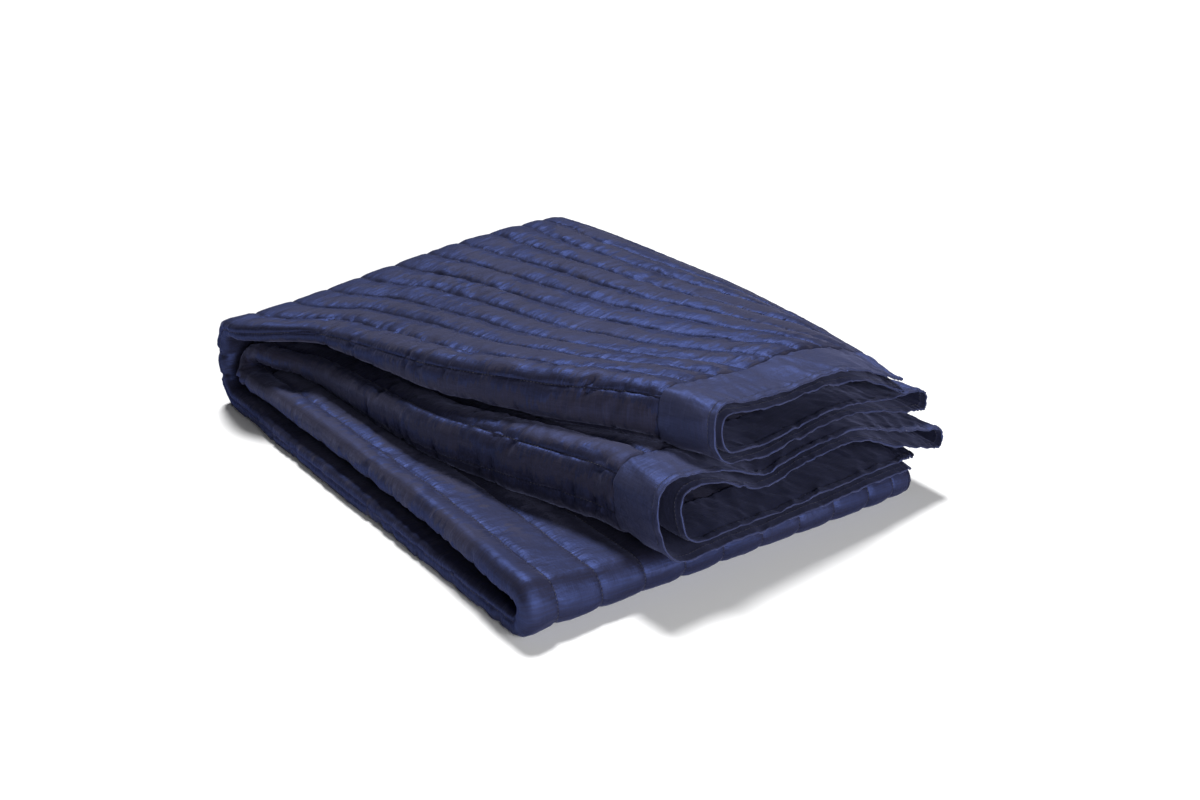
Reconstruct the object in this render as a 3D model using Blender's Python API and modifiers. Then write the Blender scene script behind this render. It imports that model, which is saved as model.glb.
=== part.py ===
"""A channel-quilted bedspread, folded lengthwise twice and then across twice.

The cloth is one sheet: a quilted panel with a plain band sewn across each end. Folding it in half
and half again lengthwise makes a strip of four layers, and folding that strip back and forth makes
four stacked sections: top, second, third and bottom. The tables below describe those sections from
the left end to the right end, and everything else is worked out from them.

Metres, +Z up. X runs along the folded strip, Y from its near side (the rolled folds) to its far side.
The origin is at the middle of the footprint, on the surface the bedspread lies on.
"""

from collections import namedtuple
from math import pi

import bpy
import numpy as np

MM = 0.001

# Driving sizes of the cloth
CLOTH_WIDTH = 1974 * MM          # 47 channels of 42 mm
BAND_WIDTH = 68 * MM             # the plain band across each end
PANEL_THICK = 3.4 * MM
BAND_THICK = 1.8 * MM
SEAM_GAP = 0.4 * MM              # between the panel and a band
LAYERS = 4
TIGHTEST_FOLD = 2.4 * MM         # least radius of the cloth's middle in a pressed fold

FLOOR = PANEL_THICK / 2 / MM     # height of the lowest layer's middle, in millimetres

# One row of a section's table, in millimetres:
#   x_near, x_far, y_near, y_far   ends of the cross-section on the near and the far side
#   low, high                      heights of the lowest and highest layer, at sixths from near to far
#   pair                           distance of an outer layer from the inner one beside it
#   loop                           height of the open fold on the far side
#   nest                           how far the inner near fold lies inside the outer one
#   free                           where the free side edges end, as a part of the cross-section
#   lean                           how far the layers' ends step outward from top to bottom
Row = namedtuple("Row", "x_near x_far y_near y_far low high pair loop nest free lean")


def level(height):
    """The same height at every sixth of a cross-section."""
    return (height,) * 7


BOTTOM = (
    Row(-324, -324, -264, 262, level(FLOOR),
        (24.5, 24.5, 25, 26, 27, 28, 29), 6.4, 8, 6, 0.98, 0),
    Row(-150, -150, -266, 262, level(FLOOR),
        (22, 20, 19, 19, 19, 19, 19), 5.6, 7, 6, 0.98, 0),
    Row(80, 80, -266, 262, level(FLOOR),
        (22, 19.5, 18, 17.5, 17.5, 17.5, 17.5), 5.2, 7, 6, 0.98, 0),
    Row(318, 332, -266, 262, level(FLOOR),
        (20.5, 20, 18.5, 17.5, 17.5, 17.5, 17.5), 5.2, 5.4, 6, 0.975, 0),
)
THIRD = (
    Row(-314, -302, -254, 255, (38, 34, 33, 33, 34, 35, 36),
        (54, 54, 56, 58, 61, 63, 65), 6.2, 8, 6, 0.98, 0),
    Row(-150, -150, -253, 256, (36, 28, 26, 26, 26, 26, 26),
        (60, 50, 46, 46, 46, 47, 48), 6.0, 7, 8, 0.98, 0),
    Row(80, 80, -253, 258, (36, 27, 24, 23, 22.8, 22.8, 22.8),
        (60, 47, 42, 41, 41, 41, 41), 6.0, 7, 8, 0.98, 0),
    Row(318, 332, -263, 260, (37, 28, 24, 23.4, 23.4, 23.4, 23.4),
        (60, 47, 42, 40, 39.6, 39.4, 39.2), 5.8, 5.4, 7, 0.975, 0),
)
SECOND = (
    Row(-314, -302, -236, 258, (69, 66, 67, 69, 72, 75, 78),
        (85, 86, 89, 93, 98, 103, 107), 6.2, 8, 6, 0.98, 0),
    Row(-200, -200, -202, 262, (60, 55, 54, 54, 56, 58, 60),
        (92, 87, 82, 84, 90, 94, 94), 6.4, 8, 10, 0.98, 0),
    Row(0, 0, -196, 272, (55, 50, 49, 48, 48, 49, 48),
        (108, 98, 84, 82, 88, 90, 82), 7.2, 10, 16, 0.97, 0),
    Row(150, 145, -163, 290, (51, 49, 47, 47, 47, 47, 45),
        (122, 112, 92, 93, 102, 92, 74), 9, 14, 22, 0.95, 0.05),
    Row(290, 280, -128, 302, (50, 49, 47, 46, 45.5, 45, 44),
        (132, 124, 101, 106, 110, 88, 67), 11, 18, 27, 0.90, 0.15),
    Row(367, 352, -127, 298, (50, 50, 46, 46, 47, 43.5, 42),
        (134, 128, 102, 110, 110, 86, 66), 12, 20, 29, 0.87, 0.3),
)
TOP = (
    Row(-324, -324, -262, 266, (104, 98, 98, 102, 107, 112, 116),
        (117.5, 124, 134, 146, 156, 162, 163), 7.2, 8, 6, 0.98, 0),
    Row(-210, -210, -197, 272, (117, 104, 94, 95, 101, 105, 104),
        (132, 137, 146, 156, 164, 168, 162), 7.2, 8, 8, 0.98, 0),
    Row(0, 0, -174, 278, (126, 110, 99, 96, 100, 104, 98),
        (160, 162, 163, 167, 171, 170, 157), 7.2, 10, 10, 0.97, 0),
    Row(150, 142, -120, 290, (127, 115, 102, 104, 111, 105, 90),
        (178, 173, 168, 169, 172, 162, 142), 8.4, 14, 10, 0.94, 0.05),
    Row(275, 252, -58, 300, (129, 117, 113, 119, 117, 103, 91),
        (187, 180, 174, 175, 168, 148, 122), 9.5, 18, 10, 0.90, 0.15),
    Row(347, 318, -42, 303, (128, 119, 121, 124, 117, 103, 92),
        (190, 178, 173, 173, 162, 136, 114), 10.5, 20, 10, 0.87, 0.3),
)

# Bulge of each fold across the strip, and the number of steps in its half turn
LEFT_OUTER_BULGE = 38 * MM
LEFT_INNER_BULGE = 19 * MM
RIGHT_BULGE = 12.5 * MM
LEFT_OUTER_STEPS = 7
SHORT_STEPS = 5
SQUARE = 1.25                    # the big left fold is squarer than a half circle

SIXTHS = np.linspace(0, 1, 7)
N_PATH = 21                      # seven points of three numbers
NORMAL = slice(21, 24)
HEIGHTS = slice(24, 31)


def station(row, side):
    """One cross-section as a flat list of numbers; side is +1 with the first layer on top, else -1."""
    x = row.x_near + (row.x_far - row.x_near) * SIXTHS
    y = row.y_near + (row.y_far - row.y_near) * SIXTHS
    low, high = np.array(row.low, float), np.array(row.high, float)
    path = np.stack([x, y, (low + high) / 2], axis=-1) * MM
    normal = side * np.array([-row.lean, 0.0, 1.0])
    normal /= np.linalg.norm(normal)
    sizes = np.array([row.pair, row.loop, row.nest]) * MM
    return np.concatenate([path.ravel(), normal, (high - low) * MM, sizes, [row.free]])


def half_turn(first, last, way, bulge, steps, square=1.0, inside=False):
    """Cross-sections of a fold from one section of the strip to the next, bulging along X."""
    out = []
    for i in range(1, steps):
        turn = pi * i / steps
        across = np.sign(np.cos(turn)) * abs(np.cos(turn)) ** (1 / square)
        along = np.sin(turn) ** (1 / square)
        new = first * (1 - i / steps) + last * (i / steps)
        path = (first[:N_PATH] + last[:N_PATH]) / 2 + (first[:N_PATH] - last[:N_PATH]) / 2 * across
        path = path.reshape(7, 3)
        path[:, 0] += way * bulge * along
        outward = np.array([-way if inside else way, 0.0, 0.0])
        normal = first[NORMAL] * np.cos(turn) + outward * np.sin(turn)
        new[:N_PATH] = path.ravel()
        new[NORMAL] = normal / np.linalg.norm(normal)
        out.append(new)
    return out


def all_stations():
    """The cross-sections of the whole strip, from one end of the cloth to the other."""
    top = [station(row, 1) for row in reversed(TOP)]
    bottom = [station(row, -1) for row in BOTTOM]
    third = [station(row, 1) for row in reversed(THIRD)]
    second = [station(row, -1) for row in SECOND]
    left_outer = half_turn(top[-1], bottom[0], -1, LEFT_OUTER_BULGE, LEFT_OUTER_STEPS, SQUARE)
    right = half_turn(bottom[-1], third[0], 1, RIGHT_BULGE, SHORT_STEPS)
    left_inner = half_turn(third[-1], second[0], -1, LEFT_INNER_BULGE, SHORT_STEPS, inside=True)
    return np.array(top + left_outer + bottom + right + third + left_inner + second)


def smooth(x):
    """A soft step from 0 to 1."""
    x = np.clip(x, 0, 1)
    return x * x * (3 - 2 * x)


def round_end(x):
    """A quarter circle that rises from 0 at x = 0 to 1 at x = 1 and stays there."""
    return np.sqrt(1 - (1 - np.clip(x, 0, 1)) ** 2)


def hermite(t, start, end, slope_start, slope_end):
    """The cubic between two values with the slopes at them."""
    return ((2 * t ** 3 - 3 * t ** 2 + 1) * start + (t ** 3 - 2 * t ** 2 + t) * slope_start
            + (3 * t ** 2 - 2 * t ** 3) * end + (t ** 3 - t ** 2) * slope_end)


def spline(knots, values, where):
    """A smooth curve through the rows of values at the knots, which never overshoots them."""
    gap = np.diff(knots)[:, None]
    rise = np.diff(values, axis=0) / gap
    before, after = rise[:-1], rise[1:]
    same_way = before * after > 0
    total = np.where(same_way, before + after, 1)
    slope = np.concatenate([rise[:1], np.where(same_way, 2 * before * after / total, 0), rise[-1:]])
    i = np.clip(np.searchsorted(knots, where, side="right") - 1, 0, len(knots) - 2)
    t = ((where - knots[i]) / gap[i, 0])[:, None]
    return hermite(t, values[i], values[i + 1], gap[i] * slope[i], gap[i] * slope[i + 1])


def along_sixths(values, part):
    """The curve through seven values of each cross-section, at parts 0 to 1 of the way across."""
    slope = np.gradient(values, axis=1)
    i = np.clip((part * 6).astype(int), 0, 5)
    t = (part * 6 - i)[..., None]
    row = np.arange(len(values))[:, None]
    return hermite(t, values[row, i], values[row, i + 1], slope[row, i], slope[row, i + 1])


STATIONS = all_stations()
MIDDLE = STATIONS[:, :N_PATH].reshape(-1, 7, 3).mean(axis=1)
STATION_AT = np.concatenate([[0], np.cumsum(np.linalg.norm(np.diff(MIDDLE, axis=0), axis=1))])
CLOTH_LENGTH = STATION_AT[-1]

# The layers in the order in which the cloth's width passes through them: first to last, the outer
# layer beside the free edge, the outer layer after the big near fold, the inner layer after the far
# loop, and the inner layer after the small near fold.
FIRST, SECOND_LAYER, THIRD_LAYER, LAST = range(LAYERS)


def layer_curves(length_at, layer, steps=241):
    """Points of one layer, from its near fold to its far end, at each place along the cloth."""
    values = spline(STATION_AT, STATIONS, length_at)
    path = values[:, :N_PATH].reshape(-1, 7, 3)
    normal = values[:, None, NORMAL]
    heights = values[:, HEIGHTS, None]
    pair, loop, nest, free = values[:, 31:, None].transpose(1, 0, 2)
    span = np.linalg.norm(np.diff(path, axis=1), axis=2).sum(axis=1)[:, None]
    inner = layer in (THIRD_LAYER, LAST)
    start = nest if inner else 0 * nest
    end = {FIRST: span * free, LAST: span * (free + 0.012)}.get(layer, span)
    dense = (1 - np.cos(pi * np.linspace(0, 1, steps))) / 2
    across = start + (end - start) * dense
    part = np.clip(across / span, 0, 1)

    height = along_sixths(heights, part)[..., 0]
    outer_half = height / 2
    inner_half = np.maximum(outer_half - pair, TIGHTEST_FOLD)
    if inner:
        fold = np.maximum(heights[:, 0] / 2 - pair, TIGHTEST_FOLD)
        offset = inner_half * round_end((across - start) / fold)
    else:
        offset = outer_half * round_end(across / (heights[:, 0] / 2))
    if layer in (SECOND_LAYER, THIRD_LAYER):
        side = 1 if inner else -1
        widen = smooth((part - 0.72) / 0.22)
        apart = outer_half - inner_half
        apart = apart + (np.maximum(loop, apart) - apart) * widen
        looped = -(inner_half + outer_half) / 2 + side * apart / 2 * round_end((end - across) / (loop * 0.6))
        close = smooth((part - 0.70) / 0.05)
        offset = looped * close - offset * (1 - close)

    point = along_sixths(path, part)
    tangent = np.gradient(point, axis=1)
    tangent /= np.linalg.norm(tangent, axis=-1, keepdims=True)
    upright = normal - (normal * tangent).sum(axis=-1, keepdims=True) * tangent
    upright /= np.linalg.norm(upright, axis=-1, keepdims=True)
    return point + upright * offset[..., None]


def cloth_points(length_at, width_at):
    """Where the points of the flat cloth lie when it is folded: one row for each length."""
    out = np.zeros((len(length_at), len(width_at), 3))
    layer_width = CLOTH_WIDTH / LAYERS
    layer_of = np.clip((width_at / layer_width).astype(int), 0, LAYERS - 1)
    for layer in range(LAYERS):
        chosen = np.flatnonzero(layer_of == layer)
        curves = layer_curves(length_at, layer)
        steps = np.linalg.norm(np.diff(curves, axis=1), axis=2)
        run = np.concatenate([np.zeros((len(length_at), 1)), np.cumsum(steps, axis=1)], axis=1)
        part = width_at[chosen] / layer_width - layer
        if layer in (FIRST, THIRD_LAYER):
            part = 1 - part
        for i, curve in enumerate(curves):
            for axis in range(3):
                out[i, chosen, axis] = np.interp(part * run[i, -1], run[i], curve[:, axis])
    out[..., 2] = np.maximum(out[..., 2], FLOOR * MM)
    return out


# Where the mesh has its lines. Across the cloth they crowd toward the folds, whose distances from
# the fold line are listed; along the cloth there is one at each station, and one between wide ones.
BIG_FOLD_LINES = np.array([0, 6, 13, 24, 42, 72]) * MM
SMALL_FOLD_LINES = np.array([0, 1.8, 4.2, 9, 24, 72]) * MM
LOOP_LINES = np.array([0, 1.8, 4.2, 9, 22]) * MM
OPEN_LINES = np.array([1, 2, 3]) / 4      # across the open middle of each layer
WIDEST_STEP = 90 * MM


def width_lines():
    """Distances across the cloth of the mesh's lines."""
    q = CLOTH_WIDTH / LAYERS
    folds = ((q, BIG_FOLD_LINES), (2 * q, LOOP_LINES), (3 * q, SMALL_FOLD_LINES))
    lines = [np.array([0.0, CLOTH_WIDTH])]
    for place, offsets in folds:
        lines += [place - offsets, place + offsets]
    edges = ((0, q - BIG_FOLD_LINES[-1]), (q + BIG_FOLD_LINES[-1], 2 * q - LOOP_LINES[-1]),
             (2 * q + LOOP_LINES[-1], 3 * q - SMALL_FOLD_LINES[-1]), (3 * q + SMALL_FOLD_LINES[-1], 4 * q))
    for start, end in edges:
        lines.append(start + (end - start) * OPEN_LINES)
    return np.unique(np.round(np.concatenate(lines), 6))


def length_lines(start, end):
    """Distances along the cloth of the mesh's lines between two ends."""
    inside = STATION_AT[(STATION_AT > start + 12 * MM) & (STATION_AT < end - 12 * MM)]
    lines = [start]
    for place in [*inside, end]:
        extra = int((place - lines[-1]) / WIDEST_STEP)
        lines += list(np.linspace(lines[-1], place, extra + 2)[1:])
    return np.array(lines)


def material(name, colour, roughness):
    """A plain cloth finish."""
    made = bpy.data.materials.new(name)
    made.use_nodes = True
    shader = made.node_tree.nodes["Principled BSDF"]
    shader.inputs["Base Color"].default_value = (*colour, 1)
    shader.inputs["Roughness"].default_value = roughness
    shader.inputs["Metallic"].default_value = 0.0
    return made


def sheet(name, points, thickness, finish, collection):
    """A thin solid around a grid of points."""
    rows, columns = points.shape[:2]
    bpy.ops.mesh.primitive_grid_add(x_subdivisions=columns - 1, y_subdivisions=rows - 1)
    thing = bpy.context.active_object
    thing.name = name
    thing.data.name = name
    thing.data.vertices.foreach_set("co", points.reshape(-1).astype(np.float32))
    thing.data.update()
    solid = thing.modifiers.new("thickness", "SOLIDIFY")
    solid.thickness = thickness
    solid.offset = 0.0
    thing.data.shade_smooth()
    thing.data.materials.append(finish)
    for owner in list(thing.users_collection):
        owner.objects.unlink(thing)
    collection.objects.link(thing)
    return thing


def main():
    """Empty the scene and build the bedspread's three pieces."""
    for thing in list(bpy.data.objects):
        bpy.data.objects.remove(thing)
    collection = bpy.data.collections.new("bedspread")
    bpy.context.scene.collection.children.link(collection)

    panel_cloth = material("quilted_cloth", (0.035, 0.045, 0.13), 0.45)
    band_cloth = material("band_cloth", (0.045, 0.06, 0.17), 0.5)
    panel_start = BAND_WIDTH + SEAM_GAP
    panel_end = CLOTH_LENGTH - BAND_WIDTH - SEAM_GAP
    pieces = (
        ("end_band_a", 0.0, BAND_WIDTH, BAND_THICK, band_cloth),
        ("quilted_panel", panel_start, panel_end, PANEL_THICK, panel_cloth),
        ("end_band_b", CLOTH_LENGTH - BAND_WIDTH, CLOTH_LENGTH, BAND_THICK, band_cloth),
    )
    across = width_lines()
    shapes = [cloth_points(length_lines(start, end), across) for _, start, end, _, _ in pieces]
    spots = np.concatenate([shape.reshape(-1, 3) for shape in shapes])
    centre = (spots.min(axis=0) + spots.max(axis=0)) / 2
    centre[2] = 0
    for (name, _, _, thickness, finish), shape in zip(pieces, shapes):
        sheet(name, shape - centre, thickness, finish, collection)


main()
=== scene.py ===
"""A channel-quilted silk bedspread, folded in four lengthwise and then into four along its length.

The cloth is laid flat in numbers, length by width, folded with the same tables as the solid model,
and then given what sewing does to it: padded channels, pinched seams, puckers beside the stitches,
creases and a stitched hem. Metres, +Z up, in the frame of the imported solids.
"""

from collections import namedtuple
from functools import partialmethod
from math import pi, radians

import bpy
import numpy as np
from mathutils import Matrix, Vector


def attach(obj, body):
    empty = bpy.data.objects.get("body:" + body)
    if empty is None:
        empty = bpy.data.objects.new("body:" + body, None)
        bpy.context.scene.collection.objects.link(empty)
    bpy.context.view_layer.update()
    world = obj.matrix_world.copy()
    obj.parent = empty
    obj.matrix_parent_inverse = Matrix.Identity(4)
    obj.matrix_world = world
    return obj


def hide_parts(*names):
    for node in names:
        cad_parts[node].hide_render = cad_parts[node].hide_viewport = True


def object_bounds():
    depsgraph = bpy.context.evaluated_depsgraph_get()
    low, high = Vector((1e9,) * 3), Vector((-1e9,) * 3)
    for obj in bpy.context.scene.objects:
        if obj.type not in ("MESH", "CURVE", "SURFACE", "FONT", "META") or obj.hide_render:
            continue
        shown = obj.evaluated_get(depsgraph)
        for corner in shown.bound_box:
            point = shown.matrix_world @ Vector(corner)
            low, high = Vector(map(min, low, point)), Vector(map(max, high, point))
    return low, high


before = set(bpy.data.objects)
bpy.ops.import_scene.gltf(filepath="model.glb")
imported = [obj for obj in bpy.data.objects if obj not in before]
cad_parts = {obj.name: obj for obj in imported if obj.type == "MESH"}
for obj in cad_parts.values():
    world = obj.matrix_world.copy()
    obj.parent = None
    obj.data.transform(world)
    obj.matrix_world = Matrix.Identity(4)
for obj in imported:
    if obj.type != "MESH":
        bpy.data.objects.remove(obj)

bl_info = {
    "name": "Folded quilted bedspread",
    "version": (1, 0, 0),
    "blender": (4, 5, 0),
    "location": "View3D > Sidebar > Bedspread",
    "description": "Builds a folded channel-quilted silk bedspread around its packed solids",
    "category": "Object",
}

CAD_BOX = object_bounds()
MM = 0.001

# Driving sizes of the cloth
CLOTH_WIDTH = 1974 * MM  # 47 channels of 42 mm
LAYERS = 4  # of cloth in each section of the folded strip
QUARTER = CLOTH_WIDTH / LAYERS
BAND_WIDTH = 68 * MM  # the plain band across each end
SEAM_GAP = 0.4 * MM  # between the panel and a band
TIGHTEST_FOLD = 2.4 * MM  # least radius of the cloth's middle in a pressed fold
FLOOR = 1.7  # height of the lowest layer's middle, in millimetres
CORNER = 2.8  # how square the near folds are: 2 is a half circle

# What the meshes share
BAND_STEP = 3.3 * MM  # between a band's mesh lines across the cloth
HEM_STITCH = 8.2 * MM  # how far a hem's line of stitches lies from the cloth's end
HEM_GROOVE = 1.0 * MM  # between that line and the mesh lines beside it
BAND_SIDE = 0.75 * MM  # how far a band's outer side stands over its middle
BAND_BACK = 1.05 * MM  # how far its inner side lies under its middle
BACK_SHARE = 0.6  # how much of the outer side's relief the inner side has
UV_SPAN = 3.0  # metres of cloth to one unit of the UV map

# One row of a section's table, in millimetres:
#   x_near, x_far, y_near, y_far: ends of the cross-section on the near and the far side
#   low, high: heights of the lowest and highest layer, at sixths of the way to the far side
#   pair: distance of an outer layer from the inner one beside it
#   loop: height of the open fold on the far side
#   nest: how far the inner near fold lies inside the outer one
#   free: where the free side edges end, as a part of the cross-section
#   lean: how far the layers' ends step outward from top to bottom
Row = namedtuple("Row", "x_near x_far y_near y_far low high pair loop nest free lean")


def level(height):
    """The same height at every sixth of a cross-section."""
    return (height,) * 7


BOTTOM = (
    Row(-324, -324, -264, 262, level(FLOOR),
        (24.5, 24.5, 25, 26, 27, 28, 29), 6.4, 8, 6, 0.98, 0),
    Row(-150, -150, -266, 262, level(FLOOR),
        (22, 20, 19, 19, 19, 19, 19), 5.6, 7, 6, 0.98, 0),
    Row(80, 80, -266, 262, level(FLOOR),
        (22, 19.5, 18, 17.5, 17.5, 17.5, 17.5), 5.2, 7, 6, 0.98, 0),
    Row(318, 332, -266, 262, level(FLOOR),
        (20.5, 20, 18.5, 17.5, 17.5, 17.5, 17.5), 5.2, 5.4, 6, 0.975, 0),
)
THIRD = (
    Row(-314, -302, -254, 255, (38, 34, 33, 33, 34, 35, 36),
        (54, 54, 56, 58, 61, 63, 65), 6.2, 8, 6, 0.98, 0),
    Row(-150, -150, -253, 256, (36, 28, 26, 26, 26, 26, 26),
        (60, 50, 46, 46, 46, 47, 48), 6.0, 7, 8, 0.98, 0),
    Row(80, 80, -253, 258, (36, 27, 24, 23, 22.8, 22.8, 22.8),
        (60, 47, 42, 41, 41, 41, 41), 6.0, 7, 8, 0.98, 0),
    Row(318, 332, -263, 260, (37, 28, 24, 23.4, 23.4, 23.4, 23.4),
        (60, 47, 42, 40, 39.6, 39.4, 39.2), 5.8, 5.4, 7, 0.975, 0),
)
SECOND = (
    Row(-314, -302, -236, 258, (69, 66, 67, 69, 72, 75, 78),
        (85, 86, 89, 93, 98, 103, 107), 6.2, 8, 6, 0.98, 0),
    Row(-200, -200, -202, 262, (60, 55, 54, 54, 56, 58, 60),
        (92, 87, 82, 84, 90, 94, 94), 6.4, 8, 10, 0.98, 0),
    Row(0, 0, -196, 272, (55, 50, 49, 48, 48, 49, 48),
        (108, 98, 84, 82, 88, 90, 82), 7.2, 10, 16, 0.97, 0),
    Row(150, 145, -163, 290, (51, 49, 47, 47, 47, 47, 45),
        (122, 112, 92, 93, 102, 92, 74), 9, 14, 22, 0.95, 0.05),
    Row(290, 280, -128, 302, (50, 49, 47, 46, 45.5, 45, 44),
        (132, 124, 101, 106, 110, 88, 67), 11, 18, 27, 0.90, 0.15),
    Row(367, 352, -127, 298, (50, 50, 46, 46, 47, 43.5, 42),
        (134, 128, 102, 110, 110, 86, 66), 12, 20, 29, 0.87, 0.3),
)
TOP = (
    Row(-324, -324, -262, 266, (104, 98, 98, 102, 107, 112, 116),
        (117.5, 124, 134, 146, 156, 162, 163), 7.2, 8, 6, 0.98, 0),
    Row(-210, -210, -197, 272, (117, 104, 94, 95, 101, 105, 104),
        (132, 137, 146, 156, 164, 168, 162), 7.2, 8, 8, 0.98, 0),
    Row(0, 0, -174, 278, (126, 110, 99, 96, 100, 104, 98),
        (160, 162, 163, 167, 171, 170, 157), 7.2, 10, 10, 0.97, 0),
    Row(150, 142, -120, 290, (127, 115, 102, 104, 111, 105, 90),
        (178, 173, 168, 169, 172, 162, 142), 8.4, 14, 10, 0.94, 0.05),
    Row(275, 252, -58, 300, (129, 117, 113, 119, 117, 103, 91),
        (187, 180, 174, 175, 168, 148, 122), 9.5, 18, 10, 0.90, 0.15),
    Row(347, 318, -42, 303, (128, 119, 121, 124, 117, 103, 92),
        (190, 178, 173, 173, 162, 136, 114), 10.5, 20, 10, 0.87, 0.3),
)

# Bulge of each fold across the strip, and the number of steps in its half turn
LEFT_OUTER_BULGE = 38 * MM
LEFT_INNER_BULGE = 19 * MM
RIGHT_BULGE = 12.5 * MM
LEFT_OUTER_STEPS = 18
SHORT_STEPS = 12
SQUARE = 1.25  # the big left fold is squarer than a half circle

SIXTHS = np.linspace(0, 1, 7)
N_PATH = 21  # seven points of three numbers
NORMAL = slice(21, 24)
HEIGHTS = slice(24, 31)


def unit(vectors):
    """The same directions with a length of one."""
    return vectors / np.maximum(np.linalg.norm(vectors, axis=-1, keepdims=True), 1e-12)


def square_to(direction, vectors):
    """The part of the vectors that is square to a direction, with a length of one."""
    return unit(vectors - direction * (direction * vectors).sum(axis=-1, keepdims=True))


def run_along(points):
    """How far each point of a line is along it."""
    return np.concatenate([[0], np.cumsum(np.linalg.norm(np.diff(points, axis=0), axis=1))])


def follow(run, values, places):
    """The rows of three values at places along a run."""
    return np.stack([np.interp(places, run, values[:, axis]) for axis in range(3)], axis=-1)


def station(row, side):
    """One cross-section as a list of numbers; side is +1 with the first layer on top, else -1."""
    x = row.x_near + (row.x_far - row.x_near) * SIXTHS
    y = row.y_near + (row.y_far - row.y_near) * SIXTHS
    low, high = np.array(row.low, float), np.array(row.high, float)
    path = np.stack([x, y, (low + high) / 2], axis=-1) * MM
    normal = unit(side * np.array([-row.lean, 0.0, 1.0]))
    sizes = np.array([row.pair, row.loop, row.nest]) * MM
    return np.concatenate([path.ravel(), normal, (high - low) * MM, sizes, [row.free]])


def half_turn(first, last, way, bulge, steps, square=1.0, inside=False):
    """Cross-sections of a fold from one section of the strip to the next, bulging along X."""
    out = []
    middle, half = (first[:N_PATH] + last[:N_PATH]) / 2, (first[:N_PATH] - last[:N_PATH]) / 2
    for i in range(1, steps):
        turn = pi * i / steps
        across = np.sign(np.cos(turn)) * abs(np.cos(turn)) ** (1 / square)
        path = (middle + half * across).reshape(7, 3)
        path[:, 0] += way * bulge * np.sin(turn) ** (1 / square)
        outward = np.array([-way if inside else way, 0.0, 0.0])
        new = first * (1 - i / steps) + last * (i / steps)
        new[:N_PATH] = path.ravel()
        new[NORMAL] = unit(first[NORMAL] * np.cos(turn) + outward * np.sin(turn))
        out.append(new)
    return out


def all_stations():
    """The cross-sections of the whole strip, from one end of the cloth to the other."""
    top = [station(row, 1) for row in reversed(TOP)]
    bottom = [station(row, -1) for row in BOTTOM]
    third = [station(row, 1) for row in reversed(THIRD)]
    second = [station(row, -1) for row in SECOND]
    left_outer = half_turn(top[-1], bottom[0], -1, LEFT_OUTER_BULGE, LEFT_OUTER_STEPS, SQUARE)
    right = half_turn(bottom[-1], third[0], 1, RIGHT_BULGE, SHORT_STEPS)
    left_inner = half_turn(third[-1], second[0], -1, LEFT_INNER_BULGE, SHORT_STEPS, inside=True)
    return np.array(top + left_outer + bottom + right + third + left_inner + second)


def smooth(x):
    """A soft step from 0 to 1."""
    x = np.clip(x, 0, 1)
    return x * x * (3 - 2 * x)


def ramp(x, start, over):
    """A soft step from 0 at the start to 1."""
    return smooth((x - start) / over)


def round_end(x):
    """A rounded corner that rises from 0 at x = 0 to 1 at x = 1 and stays there."""
    return (1 - (1 - np.clip(x, 0, 1)) ** CORNER) ** (1 / CORNER)


def hermite(t, start, end, slope_start, slope_end):
    """The cubic between two values with the slopes at them."""
    return ((2 * t ** 3 - 3 * t ** 2 + 1) * start + (t ** 3 - 2 * t ** 2 + t) * slope_start
            + (3 * t ** 2 - 2 * t ** 3) * end + (t ** 3 - t ** 2) * slope_end)


def spline(knots, values, where):
    """A smooth curve through the rows of values at the knots, which never overshoots them."""
    gap = np.diff(knots)[:, None]
    rise = np.diff(values, axis=0) / gap
    before, after = rise[:-1], rise[1:]
    same_way = before * after > 0
    inner = np.where(same_way, 2 * before * after / np.where(same_way, before + after, 1), 0)
    slope = np.concatenate([rise[:1], inner, rise[-1:]])
    i = np.clip(np.searchsorted(knots, where, side="right") - 1, 0, len(knots) - 2)
    t = ((where - knots[i]) / gap[i, 0])[:, None]
    return hermite(t, values[i], values[i + 1], gap[i] * slope[i], gap[i] * slope[i + 1])


def along_sixths(values, part):
    """The curve through seven values of each cross-section, at parts 0 to 1 of the way across."""
    slope = np.gradient(values, axis=1)
    i = np.clip((part * 6).astype(int), 0, 5)
    t = (part * 6 - i)[..., None]
    row = np.arange(len(values))[:, None]
    return hermite(t, values[row, i], values[row, i + 1], slope[row, i], slope[row, i + 1])


STATIONS = all_stations()
STATION_AT = run_along(STATIONS[:, :N_PATH].reshape(-1, 7, 3).mean(axis=1))
CLOTH_LENGTH = STATION_AT[-1]

# The layers in the order in which the cloth's width passes through them: first to last, the outer
# layer beside the free edge, the outer layer after the big near fold, the inner layer after the far
# loop, and the inner layer after the small near fold.
FIRST, SECOND_LAYER, THIRD_LAYER, LAST = range(LAYERS)
LAST_REACH = 0.012  # how much further the last layer reaches than the first

# The loop on the far side, in parts of the way across
LOOP_WIDENS = 0.72, 0.22  # where it starts to widen, and over how much
LOOP_STARTS = 0.70, 0.05  # where the layers start to follow it, and over how much
LOOP_END = 0.6  # how long its round end is, as a part of its height


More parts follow.
